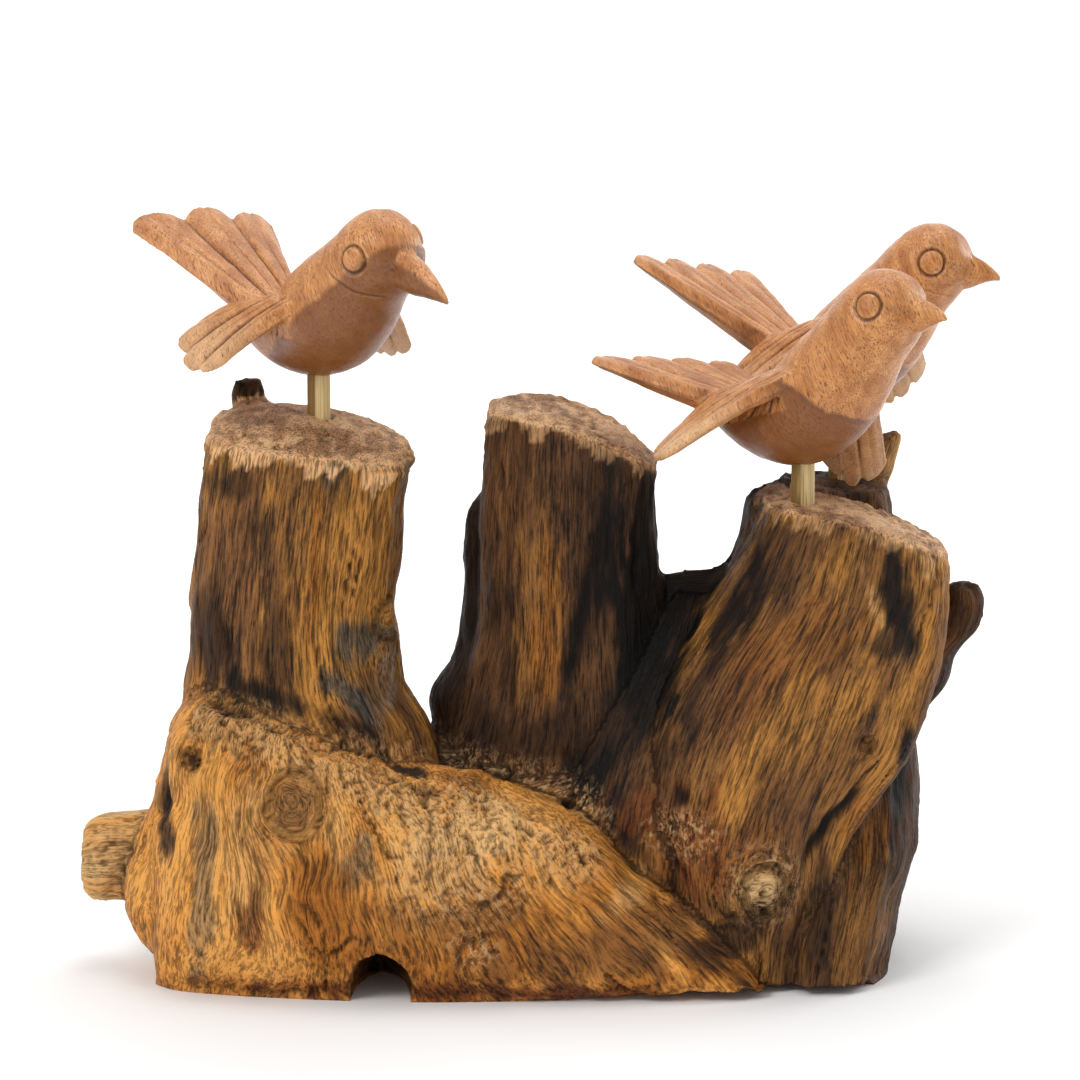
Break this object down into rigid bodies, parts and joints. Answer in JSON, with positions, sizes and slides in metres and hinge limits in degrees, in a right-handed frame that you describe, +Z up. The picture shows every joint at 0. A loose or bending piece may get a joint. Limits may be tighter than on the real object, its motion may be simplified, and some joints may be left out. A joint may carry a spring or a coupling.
{
  "type": "bird carving on root wood",
  "caption": "Small carved wooden birds with raised tails, each on a bamboo peg above a rugged block of root wood with sawn trunks.",
  "frame": {"origin": "middle of the sculpture's footprint, on the plane it stands on", "axes": "+Z up, +X to the viewer's right, -Y towards the viewer's front"},
  "size_m": [0.2782, 0.156, 0.2311],
  "materials": {
    "root_wood": "raw, weathered and fibrous",
    "carved_wood": "sanded, satin",
    "bamboo": "split, unfinished"
  },
  "bodies": {
    "root": {"root_stump": "root_wood", "left_bird": "carved_wood", "front_bird": "carved_wood", "back_bird": "carved_wood", "left_peg": "bamboo", "front_peg": "bamboo", "back_peg": "bamboo"}
  },
  "joints": []
}
